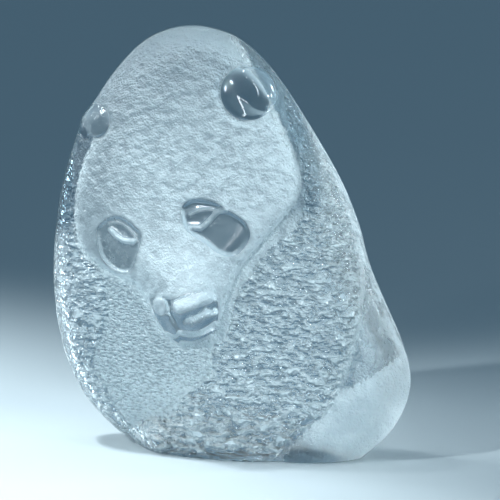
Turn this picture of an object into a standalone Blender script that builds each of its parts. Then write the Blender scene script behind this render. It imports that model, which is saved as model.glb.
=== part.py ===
"""Solid cast-glass paperweight: a pebble of clear glass with a crouching panda moulded in its front.

Metres, +Z up, the front towards -Y, the origin on the table under the middle of the glass.
"""

import math

import bmesh
import bpy
import numpy as np
from mathutils import Vector

HEIGHT = 0.130
DEPTH = 0.056
UNDERSIDE_ROUND = 0.004
FACETS = 9400
MESH_CUTS = 89

# The carving is drawn on a plane, in shares of the height: DRAWN_HEIGHT of them from table to crown.
DRAWN_HEIGHT = 130.4
SHARE = HEIGHT / DRAWN_HEIGHT
PLANE_TURN = math.radians(20.0)
PLANE_LEAN = math.radians(8.5)
MIDDLE = (-1.2, -2.4)

ALONG = np.array((math.cos(PLANE_TURN), math.sin(PLANE_TURN), 0.0))
UPWARD = np.array(
    (
        -math.sin(PLANE_TURN) * math.sin(PLANE_LEAN),
        math.cos(PLANE_TURN) * math.sin(PLANE_LEAN),
        math.cos(PLANE_LEAN),
    )
)
INWARD = np.array(
    (
        -math.sin(PLANE_TURN) * math.cos(PLANE_LEAN),
        math.cos(PLANE_TURN) * math.cos(PLANE_LEAN),
        -math.sin(PLANE_LEAN),
    )
)

# The pebble: its outline, and how its half thickness grows from the crown to the foot.
PEBBLE_CENTRE = (-4.0, 58.0)
PEBBLE = (
    (-12, 132), (-4, 130.6), (3, 127.5), (10, 121.5), (17, 112.5), (25.5, 99), (34, 84), (39.5, 70.5),
    (43, 57.5), (47.5, 46.5), (53, 33.5), (55.5, 23.5), (54.5, 15), (49.5, 5.5), (41, -2.5), (30, -12),
    (12, -24), (-6, -24), (-22, -12), (-30, 1.5), (-35.5, 5.2), (-43.5, 13), (-49, 21.5), (-53, 32),
    (-55.5, 46), (-55.8, 62), (-53.5, 80.5), (-49.5, 95), (-43.5, 107.5), (-37, 117.5), (-28.5, 126.5),
    (-20.5, 130.7),
)
FRONT_FULLNESS = 2.8
BACK_FULLNESS = 2.4
FRONT_SHARE = 0.47
BACK_SHARE = 0.40
CROWN_THINNING = 0.42

FACE = (
    (-12, 142), (0, 131), (9, 114), (18, 95.5), (21.5, 83.5), (19, 75), (9.5, 64), (3, 56), (-1.5, 46),
    (-4, 38), (-8, 33), (-16, 32.5), (-22, 38), (-27, 47), (-32, 52), (-41, 56.5), (-47, 62.5),
    (-50.5, 75.5), (-47.5, 92), (-48, 108), (-34, 134),
)
RIGHT_ARM = (
    (17, 109), (25.5, 96), (33.5, 79), (39.5, 58), (39.5, 46), (36, 29), (29.5, 12.5), (17, 2.5),
    (8, -10), (-14, -14), (-28, -8), (-31, 4), (-27, 9), (-19, 10), (-14.5, 17), (-7, 23), (-5.5, 32),
    (-1, 35), (2, 47.5), (9.5, 59), (21.5, 71), (22.8, 80.5), (20, 93),
)
LEFT_ARM = (
    (-51, 93), (-49, 75.5), (-47, 61.5), (-41.5, 57), (-38.5, 47.5), (-40, 36.5), (-43.5, 26.5),
    (-39.5, 19.5), (-35.5, 11.5), (-31, 4), (-44, 0), (-60, 27.5), (-64, 49), (-62, 77.5),
)
CHEST = (
    (-38, 52), (-31, 49), (-25, 43), (-19, 34), (-8, 32), (-8, 23), (-15.5, 17), (-20, 10), (-29, 8),
    (-34, 12), (-38.5, 20), (-42, 27), (-39, 37), (-37.5, 46),
)
THIGH = (
    (32, 17), (39, 20.5), (46.5, 25), (54, 29), (62, 20), (58, 4), (44, -10), (18, -12), (18, 0), (29, 11),
)
LEFT_PATCH = (
    (-42, 67.5), (-39, 71.5), (-34.5, 72.5), (-30.5, 70), (-27.5, 66.5), (-28.5, 61), (-31, 55),
    (-36, 55), (-40.5, 59.5),
)
RIGHT_PATCH = (
    (-15.5, 74.5), (-12, 77.5), (-6, 77), (-0.5, 74), (4.5, 70.5), (6, 65.5), (2, 60), (-3, 60),
    (-8, 63.5), (-14, 68),
)
LEFT_LID = ((-37.5, 68), (-35.5, 66), (-33, 64.5), (-30, 64.5))
RIGHT_LID = ((-12.5, 68.5), (-9.5, 68.5), (-8, 69.5), (-6, 71.5), (-4, 73.5), (-1.5, 74))

FACE_RISE = 2.2
CHEEK_RISE = 2.2
SNOUT = (-14.0, 42.0)
SNOUT_RISE = 6.5
PATCH_SINK = 2.4
LID_RISE = 1.1
LIMB_RISE = 2.8
THIGH_RISE = 1.6
CHEST_SINK = 2.0
RIGHT_PAW = (-24.5, 4.0)
PAW_RISE = 2.2
# Each soft swelling of the nose and chin: its two ends, its radius and its rise.
NOSE_SWELLS = (
    ((-22.3, 44.5), (-21.5, 42), 3.3, 2.2),
    ((-16, 44), (-7.5, 46.8), 3.3, 2.4),
    ((-14, 38.8), (-6.5, 41.5), 2.4, 1.6),
    ((-20, 40), (-18, 37), 2.2, 1.0),
    ((-16, 34), (-7.5, 34.8), 1.9, 1.3),
)
# Each cut of the nose and mouth: its line, its depth and its half width.
NOSE_CUTS = (
    (((-19.4, 46), (-18.8, 43), (-17.4, 40), (-15.8, 37)), 1.4, 1.0),
    (((-14.5, 40), (-11, 42), (-8, 44.5), (-6.5, 45)), 1.3, 0.8),
    (((-20, 36), (-18, 35), (-15, 36.2), (-12, 35.6), (-8, 36.5), (-4, 39)), 1.2, 0.8),
)
# Each ear: its middle, its radius and how far its knob stands off.
EARS = (
    ((5.5, 110.5), 8.3, 4.2),
    ((-44.0, 102.5), 5.5, 2.5),
)


def ease(share):
    """A smooth step from 0 to 1."""
    share = np.clip(share, 0.0, 1.0)
    return share * share * (3.0 - 2.0 * share)


def round_over(share):
    """A quarter-round edge, from 0 at its foot to 1 where it runs level."""
    return np.sqrt(1.0 - (1.0 - np.clip(share, 0.0, 1.0)) ** 2)


def swelling(share):
    """A soft rise that starts at a slope and runs level at 1."""
    return np.sin(np.clip(share, 0.0, 1.0) * (math.pi / 2))


def smooth_line(points, closed, steps=8):
    """A smooth line through the given points, as many short straight steps."""
    points = np.array(points, float)
    if closed:
        points = np.concatenate((points[-1:], points, points[:2]))
    else:
        points = np.concatenate((2 * points[:1] - points[1:2], points, 2 * points[-1:] - points[-2:-1]))
    pieces = []
    for before, start, end, after in zip(points, points[1:], points[2:], points[3:]):
        t = np.arange(steps)[:, None] / steps
        bend = 2 * before - 5 * start + 4 * end - after
        twist = 3 * start - before - 3 * end + after
        pieces.append(start + 0.5 * t * (end - before + t * (bend + t * twist)))
    if not closed:
        pieces.append(points[-2:-1])
    return np.concatenate(pieces)


def distance_to(line, at, closed=False):
    """The distance from each place of the drawing to a line."""
    ends = np.roll(line, -1, axis=0) if closed else line[1:]
    nearest = np.full(len(at), np.inf)
    for start, end in zip(line, ends):
        run = end - start
        along = np.clip(((at - start) @ run) / max(run @ run, 1e-9), 0.0, 1.0)
        nearest = np.minimum(nearest, np.hypot(*(at - start - along[:, None] * run).T))
    return nearest


def depth_inside(outline, at):
    """How far each place lies inside a closed outline, negative outside it."""
    line = smooth_line(outline, closed=True)
    within = np.zeros(len(at), bool)
    for start, end in zip(line, np.roll(line, -1, axis=0)):
        spans = (start[1] > at[:, 1]) != (end[1] > at[:, 1])
        rise = end[1] - start[1] if end[1] != start[1] else 1e-9
        within ^= spans & (at[:, 0] < start[0] + (at[:, 1] - start[1]) * (end[0] - start[0]) / rise)
    return np.where(within, 1.0, -1.0) * distance_to(line, at, closed=True)


def dome(at, centre, radius):
    """A round knob, 1 at its middle and 0 from its radius outwards."""
    return np.sqrt(np.clip(1.0 - ((at - centre) ** 2).sum(axis=1) / radius**2, 0.0, 1.0))


def ridge(at, line, width):
    """A narrow raised thread along a line."""
    return np.exp(-((distance_to(smooth_line(line, closed=False), at) / width) ** 2))


def head(at):
    """The face with its crisp cheek, its snout, nose and mouth, and the two sunk eye patches."""
    inside = depth_inside(FACE, at)
    snout = np.exp(-(((at - SNOUT) / (12.0, 17.0)) ** 2).sum(axis=1))
    rise = CHEEK_RISE * round_over(inside / 2.5)
    rise += (FACE_RISE + SNOUT_RISE * snout) * swelling(inside / 9.0)
    for start, end, radius, lift in NOSE_SWELLS:
        thread = distance_to(np.array((start, end), float), at)
        rise += lift * np.sqrt(np.clip(1.0 - (thread / radius) ** 2, 0.0, 1.0))
    for line, depth, width in NOSE_CUTS:
        rise -= depth * ridge(at, line, width)
    for patch in (LEFT_PATCH, RIGHT_PATCH):
        inside = depth_inside(patch, at)
        rise -= PATCH_SINK * (0.6 * ease(inside / 1.4) + 0.4 * swelling(inside / 7.0))
    for lid in (LEFT_LID, RIGHT_LID):
        rise += LID_RISE * ridge(at, lid, 1.0)
    return rise


def body(at):
    """Both arms, the paw at the foot, the thigh, and the chest sunk between the arms."""
    arms = np.maximum(depth_inside(RIGHT_ARM, at), depth_inside(LEFT_ARM, at))
    rise = LIMB_RISE * swelling(arms / 7.0)
    rise += THIGH_RISE * swelling(depth_inside(THIGH, at) / 4.0)
    rise += PAW_RISE * dome(at, RIGHT_PAW, 6.0)
    return rise - CHEST_SINK * ease(depth_inside(CHEST, at) / 8.0 + 0.2)


def carving(at):
    """How far the panda stands off the plain pebble at each place of the drawing."""
    rise = np.maximum(head(at), body(at))
    for centre, radius, lift in EARS:
        away = np.hypot(*(at - centre).T) / radius
        rise -= 1.2 * np.exp(-(((away - 1.13) / 0.12) ** 2))
        knob = 1.8 + lift * dome(at, centre, radius)
        rise = np.where(away < 1.0, np.maximum(rise, knob), rise)
    return rise


def pebble_reach(bearing):
    """The distance from the pebble's centre to its outline on each bearing."""
    line = smooth_line(PEBBLE, closed=True) - PEBBLE_CENTRE
    bearings = np.arctan2(line[:, 1], line[:, 0])
    order = np.argsort(bearings)
    return np.interp(bearing, bearings[order], np.hypot(*line.T)[order], period=2 * math.pi)


def moulded(sphere):
    """Moves the points of a unit sphere, its front at -Y, out to the surface of the glass."""
    slope = np.arccos(np.clip(-sphere[:, 1], -1.0, 1.0))
    front_part = 0.62 * math.pi
    tilt = np.where(
        slope < front_part,
        slope / front_part * (math.pi / 2),
        math.pi / 2 + (slope - front_part) / (math.pi - front_part) * (math.pi / 2),
    )
    bearing = np.arctan2(sphere[:, 2], sphere[:, 0])
    front = tilt <= math.pi / 2
    fullness = np.where(front, FRONT_FULLNESS, BACK_FULLNESS)
    size = (np.sin(tilt) ** fullness + np.abs(np.cos(tilt)) ** fullness) ** (1.0 / fullness)
    out = np.sin(tilt) / size
    thick = np.abs(np.cos(tilt)) / size
    reach = pebble_reach(bearing) * out
    at = np.stack((reach * np.cos(bearing), reach * np.sin(bearing)), axis=1) + PEBBLE_CENTRE
    swell = 1.0 - CROWN_THINNING * ease(at[:, 1] / DRAWN_HEIGHT)
    half = np.where(front, FRONT_SHARE, BACK_SHARE) * swell * thick * DEPTH / SHARE
    half += np.where(front, carving(at) * ease((thick - 0.3) / 0.4), 0.0)
    side = np.where(front, -1.0, 1.0)
    middle = -math.tan(PLANE_TURN) * (at[:, 0] - PEBBLE_CENTRE[0])
    lift = at[:, 1] * math.cos(PLANE_LEAN) - (middle + side * half) * math.sin(PLANE_LEAN)
    rounding = UNDERSIDE_ROUND / SHARE
    half = np.maximum(half - rounding * (1.0 - round_over(lift / rounding)), 0.4 * half)
    inward = middle + side * half
    points = at[:, :1] * ALONG + at[:, 1:] * UPWARD + inward[:, None] * INWARD
    return (points - (MIDDLE[0], MIDDLE[1], 0.0)) * SHARE


def clear_glass():
    """Clear pressed glass, faintly blue."""
    material = bpy.data.materials.new("clear_glass")
    material.use_nodes = True
    shader = material.node_tree.nodes["Principled BSDF"]
    shader.inputs["Base Color"].default_value = (0.86, 0.93, 0.96, 1.0)
    shader.inputs["Metallic"].default_value = 0.0
    shader.inputs["Roughness"].default_value = 0.08
    shader.inputs["IOR"].default_value = 1.5
    shader.inputs["Transmission Weight"].default_value = 1.0
    return material


def glass_panda(collection):
    """The casting: a ball of fine facets moulded to the form, thinned out, and ground flat below."""
    ball = bmesh.new()
    bmesh.ops.create_cube(ball, size=2.0)
    bmesh.ops.subdivide_edges(ball, edges=ball.edges[:], cuts=MESH_CUTS, use_grid_fill=True)
    sphere = np.array([vertex.co.normalized() for vertex in ball.verts])
    for vertex, place in zip(ball.verts, moulded(sphere)):
        vertex.co = place
    bmesh.ops.triangulate(ball, faces=ball.faces[:])
    bmesh.ops.recalc_face_normals(ball, faces=ball.faces[:])
    count = len(ball.faces)
    mesh = bpy.data.meshes.new("glass_panda")
    ball.to_mesh(mesh)
    ball.free()
    casting = bpy.data.objects.new("glass_panda", mesh)
    collection.objects.link(casting)
    thinning = casting.modifiers.new("thinning", "DECIMATE")
    thinning.ratio = FACETS / count
    bpy.context.view_layer.update()
    thinned = bpy.data.meshes.new_from_object(casting.evaluated_get(bpy.context.evaluated_depsgraph_get()))
    casting.modifiers.clear()
    ground = bmesh.new()
    ground.from_mesh(thinned)
    everything = ground.verts[:] + ground.edges[:] + ground.faces[:]
    cut = bmesh.ops.bisect_plane(
        ground, geom=everything, plane_co=Vector(), plane_no=Vector((0, 0, -1)), clear_outer=True
    )
    rim = [item for item in cut["geom_cut"] if isinstance(item, bmesh.types.BMEdge)]
    bmesh.ops.edgeloop_fill(ground, edges=rim)
    bmesh.ops.recalc_face_normals(ground, faces=ground.faces[:])
    ground.to_mesh(mesh)
    ground.free()
    bpy.data.meshes.remove(thinned)
    mesh.shade_smooth()
    mesh.set_sharp_from_angle(angle=math.radians(50.0))
    mesh.materials.append(clear_glass())
    return casting


def main():
    for thing in list(bpy.data.objects):
        bpy.data.objects.remove(thing, do_unlink=True)
    collection = bpy.data.collections.new("glass panda paperweight")
    bpy.context.scene.collection.children.link(collection)
    glass_panda(collection)


main()
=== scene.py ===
"""The looks of a cast-glass panda: fine fur and frost on clear glass, on a pale table in soft light."""

import math

import bmesh
import bpy
import numpy as np
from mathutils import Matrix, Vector, noise


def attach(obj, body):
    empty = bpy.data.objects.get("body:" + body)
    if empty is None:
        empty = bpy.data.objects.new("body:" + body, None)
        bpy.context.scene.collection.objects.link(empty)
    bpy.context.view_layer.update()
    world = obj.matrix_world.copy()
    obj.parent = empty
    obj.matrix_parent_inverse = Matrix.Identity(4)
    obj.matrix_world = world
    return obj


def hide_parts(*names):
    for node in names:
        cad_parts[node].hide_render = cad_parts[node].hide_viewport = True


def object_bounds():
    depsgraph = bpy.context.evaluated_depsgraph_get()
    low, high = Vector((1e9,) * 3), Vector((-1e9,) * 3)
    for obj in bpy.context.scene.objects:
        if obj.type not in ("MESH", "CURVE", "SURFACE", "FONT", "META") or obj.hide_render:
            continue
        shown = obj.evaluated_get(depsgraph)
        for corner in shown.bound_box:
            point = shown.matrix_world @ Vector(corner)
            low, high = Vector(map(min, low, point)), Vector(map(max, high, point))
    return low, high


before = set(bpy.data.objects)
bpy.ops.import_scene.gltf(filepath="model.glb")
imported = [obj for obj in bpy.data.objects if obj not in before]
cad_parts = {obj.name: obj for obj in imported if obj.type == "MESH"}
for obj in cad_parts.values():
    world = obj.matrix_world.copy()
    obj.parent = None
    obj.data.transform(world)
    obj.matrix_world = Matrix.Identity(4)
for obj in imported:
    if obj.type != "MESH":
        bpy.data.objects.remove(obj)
solid_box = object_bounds()

# The carving is drawn on a plane, in shares of the glass's height: DRAWN_HEIGHT of them from table to crown.
# Lengths, outlines and places below are in these shares, first across the drawing and then up it.
DRAWN_HEIGHT = 130.4
SHARE = (solid_box[1].z - solid_box[0].z) / DRAWN_HEIGHT
# The plane is turned from the glass's own front and leans back, so that it faces the camera.
PLANE_TURN = math.radians(20.0)
PLANE_LEAN = math.radians(8.5)
# The middle of the glass's box on the table, from the drawing's foot.
MIDDLE = (-1.2, -2.4)

ALONG = np.array((math.cos(PLANE_TURN), math.sin(PLANE_TURN), 0.0))
UPWARD = np.array(
    (
        -math.sin(PLANE_TURN) * math.sin(PLANE_LEAN),
        math.cos(PLANE_TURN) * math.sin(PLANE_LEAN),
        math.cos(PLANE_LEAN),
    )
)
INWARD = np.array(
    (
        -math.sin(PLANE_TURN) * math.cos(PLANE_LEAN),
        math.cos(PLANE_TURN) * math.cos(PLANE_LEAN),
        -math.sin(PLANE_LEAN),
    )
)

# The facets: the cuts across each side of the cube that they start from, how much of the half turn from front
# to back becomes the front, and how far they crowd towards its middle.
MESH_CUTS = 126
FRONT_PART = 0.78 * math.pi
FRONT_CROWDING = 1.12
SHARP_EDGE = math.radians(60.0)

# The pebble's outline, and the place that it is measured out from.
PEBBLE_CENTRE = (-4.0, 58.0)
PEBBLE = (
    (-12, 132), (-4, 130.6), (3, 127.5), (10, 121.5), (17, 112.5), (25.5, 99), (34, 84), (39.5, 70.5),
    (43, 57.5), (47.5, 46.5), (53, 33.5), (55.5, 23.5), (54.5, 15), (49.5, 5.5), (41, -2.5), (30, -12),
    (12, -24), (-6, -24), (-22, -12), (-30, 1.5), (-35.5, 5.2), (-43.5, 13), (-49, 21.5), (-53, 32),
    (-55.5, 46), (-55.8, 62), (-53.5, 80.5), (-49.5, 95), (-43.5, 107.5), (-37, 117.5), (-28.5, 126.5),
    (-20.5, 130.7),
)
# Where the outline swells at the far ear and is nicked at the paw: middle, half width and rise.
SIDE_SWELLS = (((-46, 103), 4.5, 1.1), ((-30.5, 4.5), 1.6, -1.2))
# Its depth, how full its front and back are rounded and how much of the depth each takes, how much thinner it
# is at the crown, the round of its underside, and the least thickness that this round leaves.
DEPTH = 56.0
FRONT_FULLNESS = 2.8
BACK_FULLNESS = 2.4
FRONT_SHARE = 0.47
BACK_SHARE = 0.40
CROWN_THINNING = 0.42
UNDERSIDE_ROUND = 4.0
UNDERSIDE_LEAST = 0.4
# Where the carving, the front's finishes and the satin rim come in, by the pebble's thickness there.
CARVED_FROM = (0.3, 0.7)
FINISHED_FROM = (0.05, 0.30)
RIM_FROM = (0.60, 0.35)

FACE = (
    (-12, 142), (0, 131), (9, 114), (18, 95.5), (21.5, 83.5), (19, 75), (9.5, 64), (3, 56), (-1.5, 46),
    (-4, 38), (-8, 33), (-16, 32.5), (-22, 38), (-27, 47), (-32, 52), (-41, 56.5), (-47, 63.5),
    (-49, 76), (-46, 90), (-43.5, 96), (-47, 108), (-34, 134),
)
RIGHT_ARM = (
    (17, 109), (25.5, 96), (33.5, 79), (39.5, 58), (39.5, 46), (36, 29), (29.5, 12.5), (17, 2.5),
    (8, -10), (-14, -14), (-28, -8), (-31, 4), (-27, 9), (-19, 10), (-14.5, 17), (-7, 23), (-5.5, 32),
    (-1, 35), (2, 47.5), (9.5, 59), (21.5, 71), (22.8, 80.5), (20, 93),
)
LEFT_ARM = (
    (-51, 93), (-49, 75.5), (-47, 61.5), (-41.5, 57), (-38.5, 47.5), (-40, 36.5), (-43.5, 26.5),
    (-39.5, 19.5), (-35.5, 11.5), (-31, 4), (-44, 0), (-60, 27.5), (-64, 49), (-62, 77.5),
)
CHEST = (
    (-38, 52), (-31, 49), (-25, 43), (-19, 34), (-8, 32), (-8, 23), (-15.5, 17), (-20, 10), (-29, 8),
    (-34, 12), (-38.5, 20), (-42, 27), (-39, 37), (-37.5, 46),
)
THIGH = (
    (32, 17), (39, 20.5), (46.5, 25), (54, 29), (62, 20), (58, 4), (44, -10), (18, -12), (18, 0), (29, 11),
)
LEFT_PATCH = (
    (-42, 67.5), (-39, 71.5), (-34.5, 72.5), (-30.5, 70), (-27.5, 66.5), (-28.5, 61), (-31, 55),
    (-36, 55), (-40.5, 59.5),
)
RIGHT_PATCH = (
    (-15.5, 74.5), (-12, 77.5), (-6, 77), (-0.5, 74), (4.5, 70.5), (6, 65.5), (2, 60), (-3, 60),
    (-8, 63.5), (-14, 68),
)
# The polished nose and mouth.
MUZZLE = (
    (-25.3, 45.4), (-23.8, 47.3), (-18.4, 46.7), (-14.4, 48.3), (-8.1, 49.5), (-4.4, 47.6), (-3.4, 42.9),
    (-3.8, 38.3), (-5.6, 33.9), (-10.3, 31.7), (-15.3, 32.0), (-19.1, 34.5), (-22.8, 39.2),
)
OUTLINES = {
    "face": FACE, "right arm": RIGHT_ARM, "left arm": LEFT_ARM, "chest": CHEST, "thigh": THIGH,
    "left patch": LEFT_PATCH, "right patch": RIGHT_PATCH, "muzzle": MUZZLE,
}

# The raised threads of the closed eyes and the lips: each is a line, its rise and its half width.
THREADS = (
    (((-37.5, 68), (-35.5, 66), (-33, 64.5), (-30, 64.5)), 0.8, 0.8),
    (((-38, 69.8), (-35.3, 70.1), (-32.5, 68.9), (-30, 66)), 0.4, 0.7),
    (((-12.5, 68.5), (-9.5, 68.5), (-8, 69.5), (-6, 71.5), (-4, 73.5), (-1.5, 74)), 0.8, 0.8),
    (((-12.8, 72.5), (-9.7, 73.8), (-5.6, 74.1)), 0.4, 0.7),
    (((-15.2, 36.1), (-11.6, 35.7), (-8.1, 36.7), (-4.7, 38.9)), 0.9, 0.85),
    (((-15.2, 32.8), (-12, 32.6), (-8.1, 33.8), (-6.0, 34.9)), 0.9, 0.85),
    (((-19.7, 35.9), (-17.2, 34.9), (-15.9, 36.4)), 0.6, 0.7),
)
# Each soft swelling of the nose and chin: its two ends, its radius, its rise and its frost, a painted
# highlight on its top.
NOSE_SWELLS = (
    ((-22.2, 44.2), (-21.6, 42.6), 2.9, 2.0, 0.8),
    ((-15.8, 43.3), (-7.2, 46.2), 2.9, 2.2, 0.9),
    ((-12.2, 38.6), (-6.3, 41.7), 2.3, 1.4, 0.4),
    ((-20, 40), (-18, 37), 2.2, 0.8, 0.2),
)
# The frost of a swelling, a painted highlight, lies this far above its middle, on its top.
SWELL_HIGHLIGHT_LIFT = 0.9
# Each cut of the nose and mouth: its line, its depth and its half width.
NOSE_CUTS = (
    (((-19.4, 46), (-18.8, 43), (-17.4, 40), (-15.8, 37)), 1.2, 0.9),
    (((-13.2, 40.4), (-10.3, 42.3), (-7.8, 44.4), (-6.4, 43.2)), 1.1, 0.8),
    (((-15, 34.4), (-12, 34.1), (-8, 35.2), (-5.4, 36.8)), 0.9, 0.8),
)

# Each ear: its middle, its radius, how far its knob stands off and how far it is polished.
EARS = (
    ((5.5, 110.5), 8.3, 4.2, 1.0),
    ((-43.6, 102.0), 5.2, 2.2, 0.7),
)
EAR_FOOT = 1.2
EAR_FULLNESS = 3.5
EAR_TILT = np.array((0.26, 0.30))
# The groove round each ear: its depth, and its middle and half width as parts of the ear's radius.
EAR_GROOVE = 1.2
EAR_GROOVE_MIDDLE = 1.13
EAR_GROOVE_WIDTH = 0.12

# How far each form stands off the pebble, or is sunk in it, and how wide its slope is.
CHEEK_RISE = 2.2
CHEEK_EDGE = 2.5
FACE_RISE = 2.2
FACE_SLOPE = 9.0
SNOUT = (-14.0, 42.0)
SNOUT_SPREAD = (12.0, 17.0)
SNOUT_RISE = 6.5
PATCH_SINK = 1.8
PATCH_SLOPE = 1.6
# How much of the snout's rise is left in each eye patch.
PATCH_LEVELS = {"left patch": 0.08, "right patch": 0.10}
LIMB_RISE = 2.8
THIGH_RISE = 1.6
THIGH_SLOPE = 4.0
CHEST_SINK = 2.0
RIGHT_PAW = (-24.5, 4.0)
PAW_RADIUS = 6.0
PAW_RISE = 2.2

# The fur's and the frosted face's relief: how deep it is cut, and the pitch of its tufts or swells.
COARSE_FUR = 1.0
COARSE_PITCH = 2.0
FINE_FUR = 0.45
FINE_PITCH = 1.1
FACE_FROST = 0.16
FACE_PITCHES = (1.0, 3.4)
# The ragged edge of the frost and fur: how far it wanders, and its pitch.
JAG_DEPTH = 0.7
JAG_PITCH = 0.9

# The frost: its strength along the edges of the cheek and the right arm, where it paints a highlight, how
# wide it lies along each, and its strength in each eye patch and, for each share of their rise, on the raised
# threads, where it paints glints.
EDGE_PAINTED_HIGHLIGHT = 0.7
CHEEK_FRINGE = 1.3
ARM_HEM = 1.0
PATCH_FROST = {"left patch": 0.3, "right patch": 0.15}
THREAD_PAINTED_HIGHLIGHT = 1.4
# The frosted spot on the paw: its middle and its half width.
PAW_SHINE = (-24.5, 6.5)
PAW_SHINE_WIDTH = 2.2
# The etch and painted shade scales the satin and lightens the glass's colour; where it is low the glass is
# painted darker as shade, and the polished back has a little of it too.
BACK_ETCH_AND_SHADE = 0.3
MOST_ETCH_AND_SHADE = 1.7

# The finishes, each carried by the mesh as an attribute of its name; among them the etch carries painted
# shade and the face's frost carries painted light.
FINISHES = (
    "coarse_fur", "fine_fur", "face_frost_and_painted_light", "face_tufts", "thigh_satin", "flank_satin", "etch_and_painted_shade", "rim_satin",
)

# The glass: its refraction, its colour painted dark as shade where the etch is low, its colour where it is
# high and in the satin, how clear the satin is, how deep the grain is in metres, and how rough the polish is.
GLASS_INDEX = 1.5
SHADE_PAINTED_GLASS = (0.25, 0.37, 0.45, 1.0)
PALE_GLASS = (0.92, 0.98, 0.99, 1.0)
SATIN_GLASS = (0.86, 0.975, 0.99, 1.0)
SATIN_CLARITY = 0.55
GRAIN_DEPTH = 0.0006
POLISH = 0.01

# The picture: how many of its points one share of the drawing takes, and where its middle lies on it.
PICTURE_SIZE = 500
POINTS_PER_SHARE = 3.2
PICTURE_MIDDLE = (5.94, 61.7)
CAMERA_DISTANCE = 2.0

# The room, in metres: its table, its air and the tint of its lamps.
TABLE_RADIUS = 4.0
TABLE_SIDES = 96
TABLE_ROUGHNESS = 0.7
TABLE_COLOURS = ((0.385, 0.44, 0.455, 1.0), (0.40, 0.455, 0.47, 1.0))
AIR_COLOUR = (0.30, 0.52, 0.72, 1.0)
AIR_STRENGTH = 0.43
LAMP_COLOUR = (0.87, 0.95, 1.0)
LAMP_BLEND = 0.65


def ease(share):
    """A smooth step from 0 to 1."""
    share = np.clip(share, 0.0, 1.0)
    return share * share * (3.0 - 2.0 * share)


def between(value, start, end):
    """A smooth step from 0 where the value is start to 1 where it is end."""
    return ease((value - start) / (end - start))


def round_over(share):
    """A quarter-round edge, from 0 at its foot to 1 where it runs level."""
    return np.sqrt(1.0 - (1.0 - np.clip(share, 0.0, 1.0)) ** 2)


def swelling(share):
    """A soft rise that starts at a slope and runs level at 1."""
    return np.sin(np.clip(share, 0.0, 1.0) * (math.pi / 2))


def bell(away, width):
    """A bell-shaped rise, 1 at no distance and nearly gone at twice its width."""
    return np.exp(-((away / width) ** 2))


def away_from(centre, at):
    """The distance from each place of the drawing to a centre."""
    return np.hypot(*(at - centre).T)


def smooth_line(points, closed, steps=8):
    """A smooth line through the given points, as many short straight steps."""
    points = np.array(points, float)
    if closed:
        points = np.concatenate((points[-1:], points, points[:2]))
    else:
        points = np.concatenate((2 * points[:1] - points[1:2], points, 2 * points[-1:] - points[-2:-1]))
    pieces = []
    for before, start, end, after in zip(points, points[1:], points[2:], points[3:]):
        t = np.arange(steps)[:, None] / steps
        bend = 2 * before - 5 * start + 4 * end - after
        twist = 3 * start - before - 3 * end + after
        pieces.append(start + 0.5 * t * (end - before + t * (bend + t * twist)))
    if not closed:
        pieces.append(points[-2:-1])
    return np.concatenate(pieces)


def distance_to(line, at, closed=False):
    """The distance from each place of the drawing to a line."""
    ends = np.roll(line, -1, axis=0) if closed else line[1:]
    nearest = np.full(len(at), np.inf)
    for start, end in zip(line, ends):
        run = end - start
        along = np.clip(((at - start) @ run) / max(run @ run, 1e-9), 0.0, 1.0)
        nearest = np.minimum(nearest, np.hypot(*(at - start - along[:, None] * run).T))
    return nearest


def depth_inside(outline, at):
    """How far each place lies inside a closed outline, negative outside it."""
    line = smooth_line(outline, closed=True)
    within = np.zeros(len(at), bool)
    for start, end in zip(line, np.roll(line, -1, axis=0)):
        spans = (start[1] > at[:, 1]) != (end[1] > at[:, 1])
        rise = end[1] - start[1] if end[1] != start[1] else 1e-9
        within ^= spans & (at[:, 0] < start[0] + (at[:, 1] - start[1]) * (end[0] - start[0]) / rise)
    return np.where(within, 1.0, -1.0) * distance_to(line, at, closed=True)


def dome(at, centre, radius, fullness=2.0):
    """A round knob, 1 at its middle and 0 from its radius outwards, flatter on top the fuller it is."""
    return np.clip(1.0 - (away_from(centre, at) / radius) ** fullness, 0.0, 1.0) ** 0.5


def ridge(at, line, width):
    """A narrow raised thread along a line."""
    return bell(distance_to(smooth_line(line, closed=False), at), width)


def ripple(at, pitch, seed, stretch=1.0, octaves=2):
    """Smooth random swells of a pitch, from about -1 to 1, drawn out sideways by stretch."""
    places = np.stack((at[:, 0] / (pitch * stretch), at[:, 1] / pitch, np.full(len(at), seed * 7.3)), axis=1)
    return np.array([noise.fractal(place, 1.0, 2.1, octaves) for place in places])


def tufts(at, pitch, seed):
    """Overlapping tufts of fur: each swells slowly downwards and drops short at its lower edge."""
    wander = 1.1 * ripple(at, 2.6 * pitch, seed, 1.2) + 0.5 * ripple(at, 0.9 * pitch, seed + 1, 1.5)
    phase = (at[:, 1] / pitch + 1.6 * wander) % 1.0
    drop = 0.25
    lip = np.where(phase < drop, ease(phase / drop), 1.0 - (phase - drop) / (1.0 - drop))
    strength = ease(0.55 + 1.1 * ripple(at, 1.7 * pitch, seed + 2, 1.6))
    return strength * (lip - 0.5) + 0.45 * ripple(at, 0.55 * pitch, seed + 3)


def head(at, inside):
    """The face with its crisp cheek, its snout, nose and mouth, and the two sunk eye patches."""
    snout = bell(np.hypot(*((at - SNOUT) / SNOUT_SPREAD).T), 1.0)
    for patch, level in PATCH_LEVELS.items():
        snout += (level - snout) * between(inside[patch], -0.4, PATCH_SLOPE)
    rise = CHEEK_RISE * round_over(inside["face"] / CHEEK_EDGE)
    rise += (FACE_RISE + SNOUT_RISE * snout) * swelling(inside["face"] / FACE_SLOPE)
    for start, end, radius, lift, _ in NOSE_SWELLS:
        thread = distance_to(np.array((start, end), float), at)
        rise += lift * np.sqrt(np.clip(1.0 - (thread / radius) ** 2, 0.0, 1.0))
    for line, depth, width in NOSE_CUTS:
        rise -= depth * ridge(at, line, width)
    for patch in PATCH_LEVELS:
        rise -= PATCH_SINK * ease(inside[patch] / PATCH_SLOPE)
    for line, lift, width in THREADS:
        rise += lift * ridge(at, line, width)
    return rise


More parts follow.
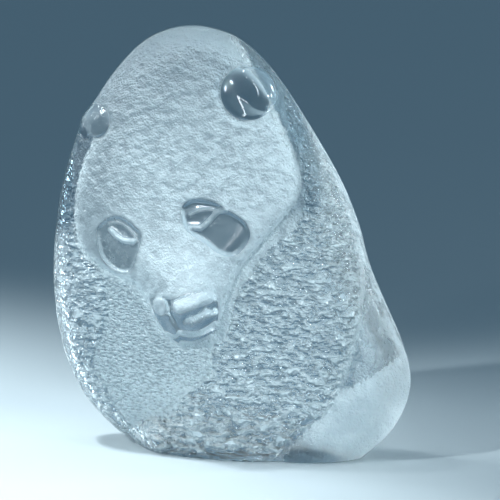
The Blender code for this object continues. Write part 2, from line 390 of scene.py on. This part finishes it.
def body(at, inside):
    """Both arms, the paw at the foot, the thigh, and the chest sunk between the arms."""
    rise = LIMB_RISE * between(np.maximum(inside["right arm"], inside["left arm"]), -0.9, 8.1)
    rise += THIGH_RISE * swelling(inside["thigh"] / THIGH_SLOPE)
    rise += PAW_RISE * dome(at, RIGHT_PAW, PAW_RADIUS)
    return rise - CHEST_SINK * between(inside["chest"], -1.6, 6.4)


def with_ears(rise, at):
    """The carving with each ear's knob set in it, and the groove round it."""
    for centre, radius, lift, _ in EARS:
        away = away_from(centre, at) / radius
        rise = rise - EAR_GROOVE * bell(away - EAR_GROOVE_MIDDLE, EAR_GROOVE_WIDTH)
        knob = EAR_FOOT + lift * dome(at, centre, radius, EAR_FULLNESS) + (at - centre) @ EAR_TILT
        rise = np.where(away < 1.0, np.maximum(rise, knob), rise)
    return rise


def polished_ears(at):
    """How far each place is polished as part of an ear."""
    ears = np.zeros(len(at))
    for centre, radius, _, polish in EARS:
        ears = np.maximum(ears, polish * between(away_from(centre, at), radius + 1.0, radius))
    return ears


def frosting_and_painted_light(at, inside, jags, face, ears):
    """The frost of the face, thin at the far cheek as painted shade, with painted highlights in frost on its
    bright edges, lids, lips and nose, and the paw.
    """
    across, up = at.T
    muzzle = between(inside["muzzle"], -0.72, 1.08)
    patches = {name: between(inside[name], -0.4, 0.4) for name in PATCH_FROST}
    frost_and_painted_light = face * (1.0 - np.maximum(*patches.values())) * (1.0 - ears) * (1.0 - 0.95 * muzzle)
    # Painted shade: the frost thins on the far cheek and towards the foot of the face.
    frost_and_painted_light *= 1.0 - 0.45 * between(across, -26.0, -42.0) - 0.12 * between(up, 60.0, 48.0)
    # Painted highlight: bright frost along the edge of the cheek and the hem of the right arm.
    frost_and_painted_light += EDGE_PAINTED_HIGHLIGHT * bell(inside["face"] + jags, CHEEK_FRINGE) * (1.0 - ears) * (1.0 - muzzle)
    hem = bell(inside["right arm"] + jags, ARM_HEM) * between(across, 24.0, 30.0) * between(up, 70.0, 50.0)
    frost_and_painted_light += EDGE_PAINTED_HIGHLIGHT * hem
    for name, strength in PATCH_FROST.items():
        frost_and_painted_light += strength * patches[name]
    # Painted highlight: frost on the top of each swelling of the nose and chin.
    for start, end, radius, _, shine in NOSE_SWELLS:
        away = distance_to(np.array((start, end), float) + (0.0, SWELL_HIGHLIGHT_LIFT), at) / radius
        frost_and_painted_light = np.maximum(frost_and_painted_light, shine * between(away, 1.2, 0.2))
    # Painted highlight: the raised threads of the lids and lips are frosted white as glints.
    for line, lift, width in THREADS:
        frost_and_painted_light = np.maximum(frost_and_painted_light, THREAD_PAINTED_HIGHLIGHT * lift * ridge(at, line, width))
    return np.maximum(frost_and_painted_light, bell(away_from(PAW_SHINE, at), PAW_SHINE_WIDTH))


def etching_and_painted_shade(at, inside, face, thigh):
    """How far the glass is etched, with painted shade and light in it: lighter to the right and most just
    above the foot, painted darker at the crown, far side, table, right eye patch, thigh's foot and the fur
    beside the face.
    """
    across, up = at.T
    # Painted shade and light: each term below paints the glass lighter or darker where light falls or shade
    # lies.
    etch_and_painted_shade = 1.0 + (across + 10.0) / 230.0 - np.clip(up - 88.0, 0.0, 40.0) / 58.0
    etch_and_painted_shade += np.clip(28.0 - up, 0.0, 28.0) / 28.0 - 1.7 * between(up, 2.5, -2.5)
    etch_and_painted_shade -= 0.4 * between(inside["right patch"], -0.4, 0.4)
    etch_and_painted_shade -= 1.2 * thigh * between(up, 7.0, 1.0) * between(across, 38.0, 24.0)
    etch_and_painted_shade -= 0.35 * between(across, -46.0, -52.0) * between(up, 50.0, 66.0)
    etch_and_painted_shade -= between(inside["face"], -9.5, -5.5) * (1.0 - face) * between(up, 64.0, 76.0)
    return np.clip(etch_and_painted_shade, 0.0, MOST_ETCH_AND_SHADE)


def finishes(at, inside):
    """How strongly each finish of the front, painted shade and painted highlights among them, shows at each
    place.
    """
    jags = JAG_DEPTH * ripple(at, JAG_PITCH, 31)
    face = between(inside["face"] + jags, -0.63, 0.27)
    ears = polished_ears(at)
    arms = between(np.maximum(inside["right arm"], inside["left arm"]) + jags, -0.6, 0.6)
    coarse = arms * (1.0 - face) * (1.0 - ears)
    fine = between(inside["chest"], -2.0, 0.0) * (1.0 - face) * (1.0 - coarse)
    frost_and_painted_light = frosting_and_painted_light(at, inside, jags, face, ears)
    bare = (1.0 - face) * (1.0 - ears) * (1.0 - coarse) * (1.0 - fine)
    thigh = bare * between(inside["thigh"] + 1.5 * jags, -1.0, 1.0)
    thigh = np.maximum(thigh, 0.8 * bare * between(inside["face"], -9.0, -5.0))
    return {
        "coarse_fur": coarse,
        "fine_fur": fine,
        "face_frost_and_painted_light": frost_and_painted_light,
        "face_tufts": frost_and_painted_light * (0.3 + 0.7 * between(at[:, 1], 66.0, 84.0)),
        "thigh_satin": thigh,
        "flank_satin": bare - thigh,
        "etch_and_painted_shade": etching_and_painted_shade(at, inside, face, thigh),
    }


def carving(at):
    """How far the panda stands off the plain pebble at each place, and the finishes there."""
    inside = {name: depth_inside(outline, at) for name, outline in OUTLINES.items()}
    rise = with_ears(np.maximum(head(at, inside), body(at, inside)), at)
    kinds = finishes(at, inside)
    rise += COARSE_FUR * kinds["coarse_fur"] * tufts(at, COARSE_PITCH, 1)
    rise += FINE_FUR * kinds["fine_fur"] * tufts(at, FINE_PITCH, 11)
    small, large = FACE_PITCHES
    rise += FACE_FROST * kinds["face_tufts"] * (ripple(at, small, 21) + 1.6 * ripple(at, large, 22))
    return rise, kinds


def pebble_reach(bearing):
    """The distance from the pebble's centre to its outline on each bearing."""
    outline = smooth_line(PEBBLE, closed=True)
    line = outline - PEBBLE_CENTRE
    reach = np.hypot(*line.T)
    for centre, width, lift in SIDE_SWELLS:
        reach += lift * bell(away_from(centre, outline), width)
    bearings = np.arctan2(line[:, 1], line[:, 0])
    order = np.argsort(bearings)
    return np.interp(bearing, bearings[order], reach[order], period=2 * math.pi)


def rounded(sphere):
    """Whether each point of a sphere, its front at -Y, lies on the front, and its reach and thickness."""
    slope = np.arccos(np.clip(-sphere[:, 1], -1.0, 1.0))
    front_slope = (slope / FRONT_PART) ** FRONT_CROWDING * (math.pi / 2)
    back_slope = math.pi / 2 + (slope - FRONT_PART) / (math.pi - FRONT_PART) * (math.pi / 2)
    tilt = np.where(slope < FRONT_PART, front_slope, back_slope)
    front = tilt <= math.pi / 2
    fullness = np.where(front, FRONT_FULLNESS, BACK_FULLNESS)
    size = (np.sin(tilt) ** fullness + np.abs(np.cos(tilt)) ** fullness) ** (1.0 / fullness)
    return front, np.sin(tilt) / size, np.abs(np.cos(tilt)) / size


def moulded(sphere):
    """Moves the points of a unit sphere out to the surface of the glass, with the finishes there."""
    front, out, thick = rounded(sphere)
    bearing = np.arctan2(sphere[:, 2], sphere[:, 0])
    reach = pebble_reach(bearing) * out
    at = np.stack((reach * np.cos(bearing), reach * np.sin(bearing)), axis=1) + PEBBLE_CENTRE
    rise, kinds = carving(at)
    swell = 1.0 - CROWN_THINNING * ease(at[:, 1] / DRAWN_HEIGHT)
    half = np.where(front, FRONT_SHARE, BACK_SHARE) * swell * thick * DEPTH
    half += rise * np.where(front, between(thick, *CARVED_FROM), 0.0)
    side = np.where(front, -1.0, 1.0)
    middle = -math.tan(PLANE_TURN) * (at[:, 0] - PEBBLE_CENTRE[0])
    lift = at[:, 1] * math.cos(PLANE_LEAN) - (middle + side * half) * math.sin(PLANE_LEAN)
    drawn_in = UNDERSIDE_ROUND * (1.0 - round_over(lift / UNDERSIDE_ROUND))
    half = np.maximum(half - drawn_in, UNDERSIDE_LEAST * half)
    inward = middle + side * half
    points = at[:, :1] * ALONG + at[:, 1:] * UPWARD + inward[:, None] * INWARD
    points = (points - (*MIDDLE, 0.0)) * SHARE
    shown = np.where(front, between(thick, *FINISHED_FROM), 0.0)
    kinds = {name: kind * shown for name, kind in kinds.items()}
    kinds["etch_and_painted_shade"] += BACK_ETCH_AND_SHADE * (1.0 - shown)
    kinds["rim_satin"] = between(thick, *RIM_FROM) * between(at[:, 0], -5.0, 20.0)
    return np.clip(points, solid_box[0], solid_box[1]), kinds


class Value:
    """A socket that can be used in sums: each sum adds its Math node."""

    def __init__(self, recipe, socket):
        self.recipe = recipe
        self.socket = socket

    def sum_with(self, operation, *others, turned=False):
        """A Math node on this socket and the others."""
        values = [self, *others]
        if turned:
            values.reverse()
        return self.recipe.add("ShaderNodeMath", {"operation": operation}, dict(enumerate(values)))

    def __add__(self, other):
        return self.sum_with("ADD", other)

    def __radd__(self, other):
        return self.sum_with("ADD", other)

    def __sub__(self, other):
        return self.sum_with("SUBTRACT", other)

    def __rsub__(self, other):
        return self.sum_with("SUBTRACT", other, turned=True)

    def __mul__(self, other):
        return self.sum_with("MULTIPLY", other)

    def __rmul__(self, other):
        return self.sum_with("MULTIPLY", other)


class Recipe:
    """The nodes of one material."""

    def __init__(self, name):
        self.material = bpy.data.materials.new(name)
        self.material.use_nodes = True
        self.tree = self.material.node_tree
        self.shader = self.tree.nodes["Principled BSDF"]

    def add(self, kind, settings=None, values=None, result=0):
        """A node of a kind, its settings first and then the values or links of its sockets."""
        node = self.tree.nodes.new(kind)
        for name, setting in (settings or {}).items():
            setattr(node, name, setting)
        for name, value in (values or {}).items():
            self.feed(node.inputs[name], value)
        return Value(self, node.outputs[result])

    def feed(self, socket, value):
        """Links a value to a socket, or sets it there."""
        if isinstance(value, Value):
            self.tree.links.new(value.socket, socket)
        else:
            socket.default_value = value

    def blend(self, factor, first, second):
        """A colour between two others, by a factor."""
        values = {"Factor": factor, "A": first, "B": second}
        return self.add("ShaderNodeMix", {"data_type": "RGBA"}, values, result=2)

    def shade(self, values):
        """Feeds the main shader, each socket by its name."""
        for name, value in values.items():
            self.feed(self.shader.inputs[name], value)

    def overlay(self, factor, values):
        """Lays a second shader over the main one, by a factor."""
        second = self.add("ShaderNodeBsdfPrincipled", None, values)
        main = Value(self, self.shader.outputs[0])
        both = self.add("ShaderNodeMixShader", None, {0: factor, 1: main, 2: second})
        self.feed(self.tree.nodes["Material Output"].inputs["Surface"], both)


def speckle(recipe, swells, detail, low=0.0, high=1.0):
    """Random grain from 0 to 1, of so many swells to a metre each way, its contrast set by two limits."""
    place = recipe.add("ShaderNodeTexCoord", result="Object")
    place = recipe.add("ShaderNodeMapping", None, {"Vector": place, "Scale": swells})
    grain = recipe.add("ShaderNodeTexNoise", None, {"Vector": place, "Scale": 1.0, "Detail": detail})
    return recipe.add("ShaderNodeMapRange", None, {"Value": grain, "From Min": low, "From Max": high})


def finish_of(recipe, name):
    """How strongly a finish shows, as the glass's mesh carries it."""
    return recipe.add("ShaderNodeAttribute", {"attribute_name": name}, result="Fac")


def clear_glass():
    """Clear pressed glass: polished where bare, satin on the face and thigh, and rough in the fur, its colour
    painted darker as shade where the etch is low.
    """
    recipe = Recipe("clear_glass")
    coarse, fine, frost_and_painted_light, tufted, thigh, flank, etch_and_painted_shade, rim = [finish_of(recipe, name) for name in FINISHES]
    locks = speckle(recipe, (300.0, 300.0, 560.0), 2.5, 0.35, 0.65)
    strokes = speckle(recipe, (700.0, 700.0, 1400.0), 2.0, 0.36, 0.64)
    grain = speckle(recipe, (1600.0, 1600.0, 1600.0), 3.0, 0.34, 0.66)
    lumps = speckle(recipe, (330.0, 330.0, 420.0), 2.0, 0.36, 0.64)
    cloud = speckle(recipe, (240.0, 240.0, 150.0), 6.0, 0.40, 0.60)
    rough = POLISH + 0.08 * coarse + 0.2 * fine + frost_and_painted_light * (0.9 - 0.6 * frost_and_painted_light) + 0.35 * thigh + 0.2 * flank
    height = (
        4.5 * locks * coarse
        + 1.4 * strokes * fine
        + tufted * (0.2 * grain + 0.8 * lumps)
        + 0.12 * grain * frost_and_painted_light
        + (1.5 * cloud + 0.5 * grain) * (thigh + flank)
    )
    bump = recipe.add("ShaderNodeBump", None, {"Height": height, "Strength": 1.0, "Distance": GRAIN_DEPTH})
    # Painted shade: the glass's colour darkens where the etch and painted shade is low.
    recipe.shade(
        {
            "Base Color": recipe.blend(1.7 * etch_and_painted_shade, SHADE_PAINTED_GLASS, PALE_GLASS), "Roughness": rough,
            "Normal": bump, "IOR": GLASS_INDEX, "Transmission Weight": 1.0,
        }
    )
    # The satin of each finish, scaled by the etch and painted shade: an even part, and what its grain adds to
    # it.
    satin = etch_and_painted_shade * (
        frost_and_painted_light * (0.42 + 0.22 * grain + 0.5 * lumps)
        + coarse * (0.1 + 0.95 * locks)
        + fine * (0.42 + 0.5 * strokes)
        + thigh * (0.34 + 0.4 * cloud + 0.45 * grain)
        + flank * (0.3 * cloud)
        + rim * (0.36 + 0.45 * cloud)
    )
    recipe.overlay(
        satin,
        {
            "Base Color": SATIN_GLASS, "Roughness": 0.5 - 0.25 * coarse, "Normal": bump, "IOR": GLASS_INDEX,
            "Transmission Weight": SATIN_CLARITY,
        },
    )
    return recipe.material


def moulded_ball():
    """The casting's mesh: a ball of fine facets moulded to the form, with its fur, ground flat below."""
    ball = bmesh.new()
    bmesh.ops.create_cube(ball, size=2.0)
    bmesh.ops.subdivide_edges(ball, edges=ball.edges[:], cuts=MESH_CUTS, use_grid_fill=True)
    sphere = np.tan(np.array([vertex.co[:] for vertex in ball.verts]) * (math.pi / 4))
    sphere /= np.linalg.norm(sphere, axis=1)[:, None]
    places, kinds = moulded(sphere)
    layers = [ball.verts.layers.float.new(name) for name in FINISHES]
    strengths = np.stack([kinds[name] for name in FINISHES], axis=1)
    for vertex, place, row in zip(ball.verts, places, strengths):
        vertex.co = place
        for layer, strength in zip(layers, row):
            vertex[layer] = strength
    everything = ball.verts[:] + ball.edges[:] + ball.faces[:]
    cut = bmesh.ops.bisect_plane(
        ball, geom=everything, plane_co=Vector(), plane_no=Vector((0, 0, -1)), clear_outer=True
    )
    cut_edges = [item for item in cut["geom_cut"] if isinstance(item, bmesh.types.BMEdge)]
    bmesh.ops.edgeloop_fill(ball, edges=cut_edges)
    bmesh.ops.recalc_face_normals(ball, faces=ball.faces[:])
    mesh = bpy.data.meshes.new("panda_casting")
    ball.to_mesh(mesh)
    ball.free()
    mesh.shade_smooth()
    mesh.set_sharp_from_angle(angle=SHARP_EDGE)
    return mesh


def placed(name, content):
    """An object of the scene, holding a mesh, a camera or a light."""
    thing = bpy.data.objects.new(name, content)
    bpy.context.scene.collection.objects.link(thing)
    return thing


def glass_panda():
    """The casting, in place of the plain solid."""
    casting = placed("panda_casting", moulded_ball())
    casting.data.materials.append(clear_glass())
    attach(casting, "root")
    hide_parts("glass_panda")


def table():
    """A plain pale table."""
    ground = bmesh.new()
    bmesh.ops.create_circle(ground, cap_ends=True, segments=TABLE_SIDES, radius=TABLE_RADIUS)
    mesh = bpy.data.meshes.new("table_top")
    ground.to_mesh(mesh)
    ground.free()
    recipe = Recipe("pale_table")
    cloud = speckle(recipe, (3.0, 3.0, 3.0), 2.0)
    recipe.shade({"Base Color": recipe.blend(cloud, *TABLE_COLOURS), "Roughness": TABLE_ROUGHNESS})
    mesh.materials.append(recipe.material)
    placed("table_top", mesh)


def room():
    """The dim blue room round the table."""
    world = bpy.data.worlds.new("blue_room")
    world.use_nodes = True
    air = world.node_tree.nodes["Background"]
    air.inputs["Color"].default_value = AIR_COLOUR
    air.inputs["Strength"].default_value = AIR_STRENGTH
    bpy.context.scene.world = world


def camera():
    """A long lens at the drawing's own angle."""
    lens = bpy.data.cameras.new("long_lens")
    view = placed("long_lens", lens)
    aim = PICTURE_MIDDLE[0] * ALONG + PICTURE_MIDDLE[1] * UPWARD - (*MIDDLE, 0.0)
    view.location = aim * SHARE - INWARD * CAMERA_DISTANCE
    view.rotation_euler = Vector(INWARD).to_track_quat("-Z", "Y").to_euler()
    lens.lens = lens.sensor_width * CAMERA_DISTANCE / (PICTURE_SIZE / POINTS_PER_SHARE * SHARE)
    bpy.context.scene.camera = view


def standing(along, behind, up):
    """A place in the room by its distances along the picture, behind the glass and above the table."""
    return Vector(along * ALONG) + Vector((-math.sin(PLANE_TURN) * behind, math.cos(PLANE_TURN) * behind, up))


def hung(light, place, aim):
    """A light hung at its place and turned to its aim."""
    light.color = LAMP_COLOUR
    holder = placed(light.name, light)
    holder.location = standing(*place)
    holder.rotation_euler = (standing(*aim) - standing(*place)).to_track_quat("-Z", "Y").to_euler()


def soft_box(name, place, aim, size, spread, power):
    """A soft box of a width and a height, its grid holding the light to a spread."""
    light = bpy.data.lights.new(name, "AREA")
    light.shape = "RECTANGLE"
    light.size, light.size_y = size
    light.spread = math.radians(spread)
    light.energy = power
    hung(light, place, aim)


def spot(name, place, aim, spread, size, power):
    """A lamp of a size that throws a round pool with a soft edge."""
    light = bpy.data.lights.new(name, "SPOT")
    light.energy = power
    light.spot_size = math.radians(spread)
    light.spot_blend = LAMP_BLEND
    light.shadow_soft_size = size
    hung(light, place, aim)


def lamps():
    """The lamps, each with its place, its aim, its size and spread, and its power in watts."""
    spot("key", (-0.50, 0.30, 1.10), (-0.34, 0.03, 0.0), 36.0, 0.10, 126.0)
    spot("pool", (0.0, -0.25, 1.20), (-0.015, -0.12, 0.0), 10.0, 0.05, 39.0)
    spot("front_left", (-0.66, -0.62, 0.70), (-0.01, -0.03, 0.05), 14.0, 0.03, 34.0)
    soft_box("side", (-0.85, 0.50, 0.60), (-0.10, -0.05, 0.03), (0.4, 0.4), 24.0, 0.3)
    soft_box("strip_high", (-0.50, -1.06, 0.90), (0.0, 0.0, 0.08), (0.06, 0.45), 40.0, 0.09)
    soft_box("strip_low", (-0.56, -1.03, 0.42), (0.0, 0.0, 0.08), (0.06, 0.45), 40.0, 0.09)
    soft_box("rim", (0.75, 0.15, 0.22), (0.0, 0.0, 0.08), (0.12, 0.35), 24.0, 0.12)
    soft_box("back_right", (0.60, 0.60, 0.30), (0.0, 0.0, 0.08), (0.12, 0.35), 20.0, 0.045)
    soft_box("front_right", (0.75, -0.60, 0.35), (0.0, 0.0, 0.07), (0.15, 0.35), 16.0, 0.10)


camera()
glass_panda()
table()
room()
lamps()
bpy.context.scene.view_settings.view_transform = "Standard"
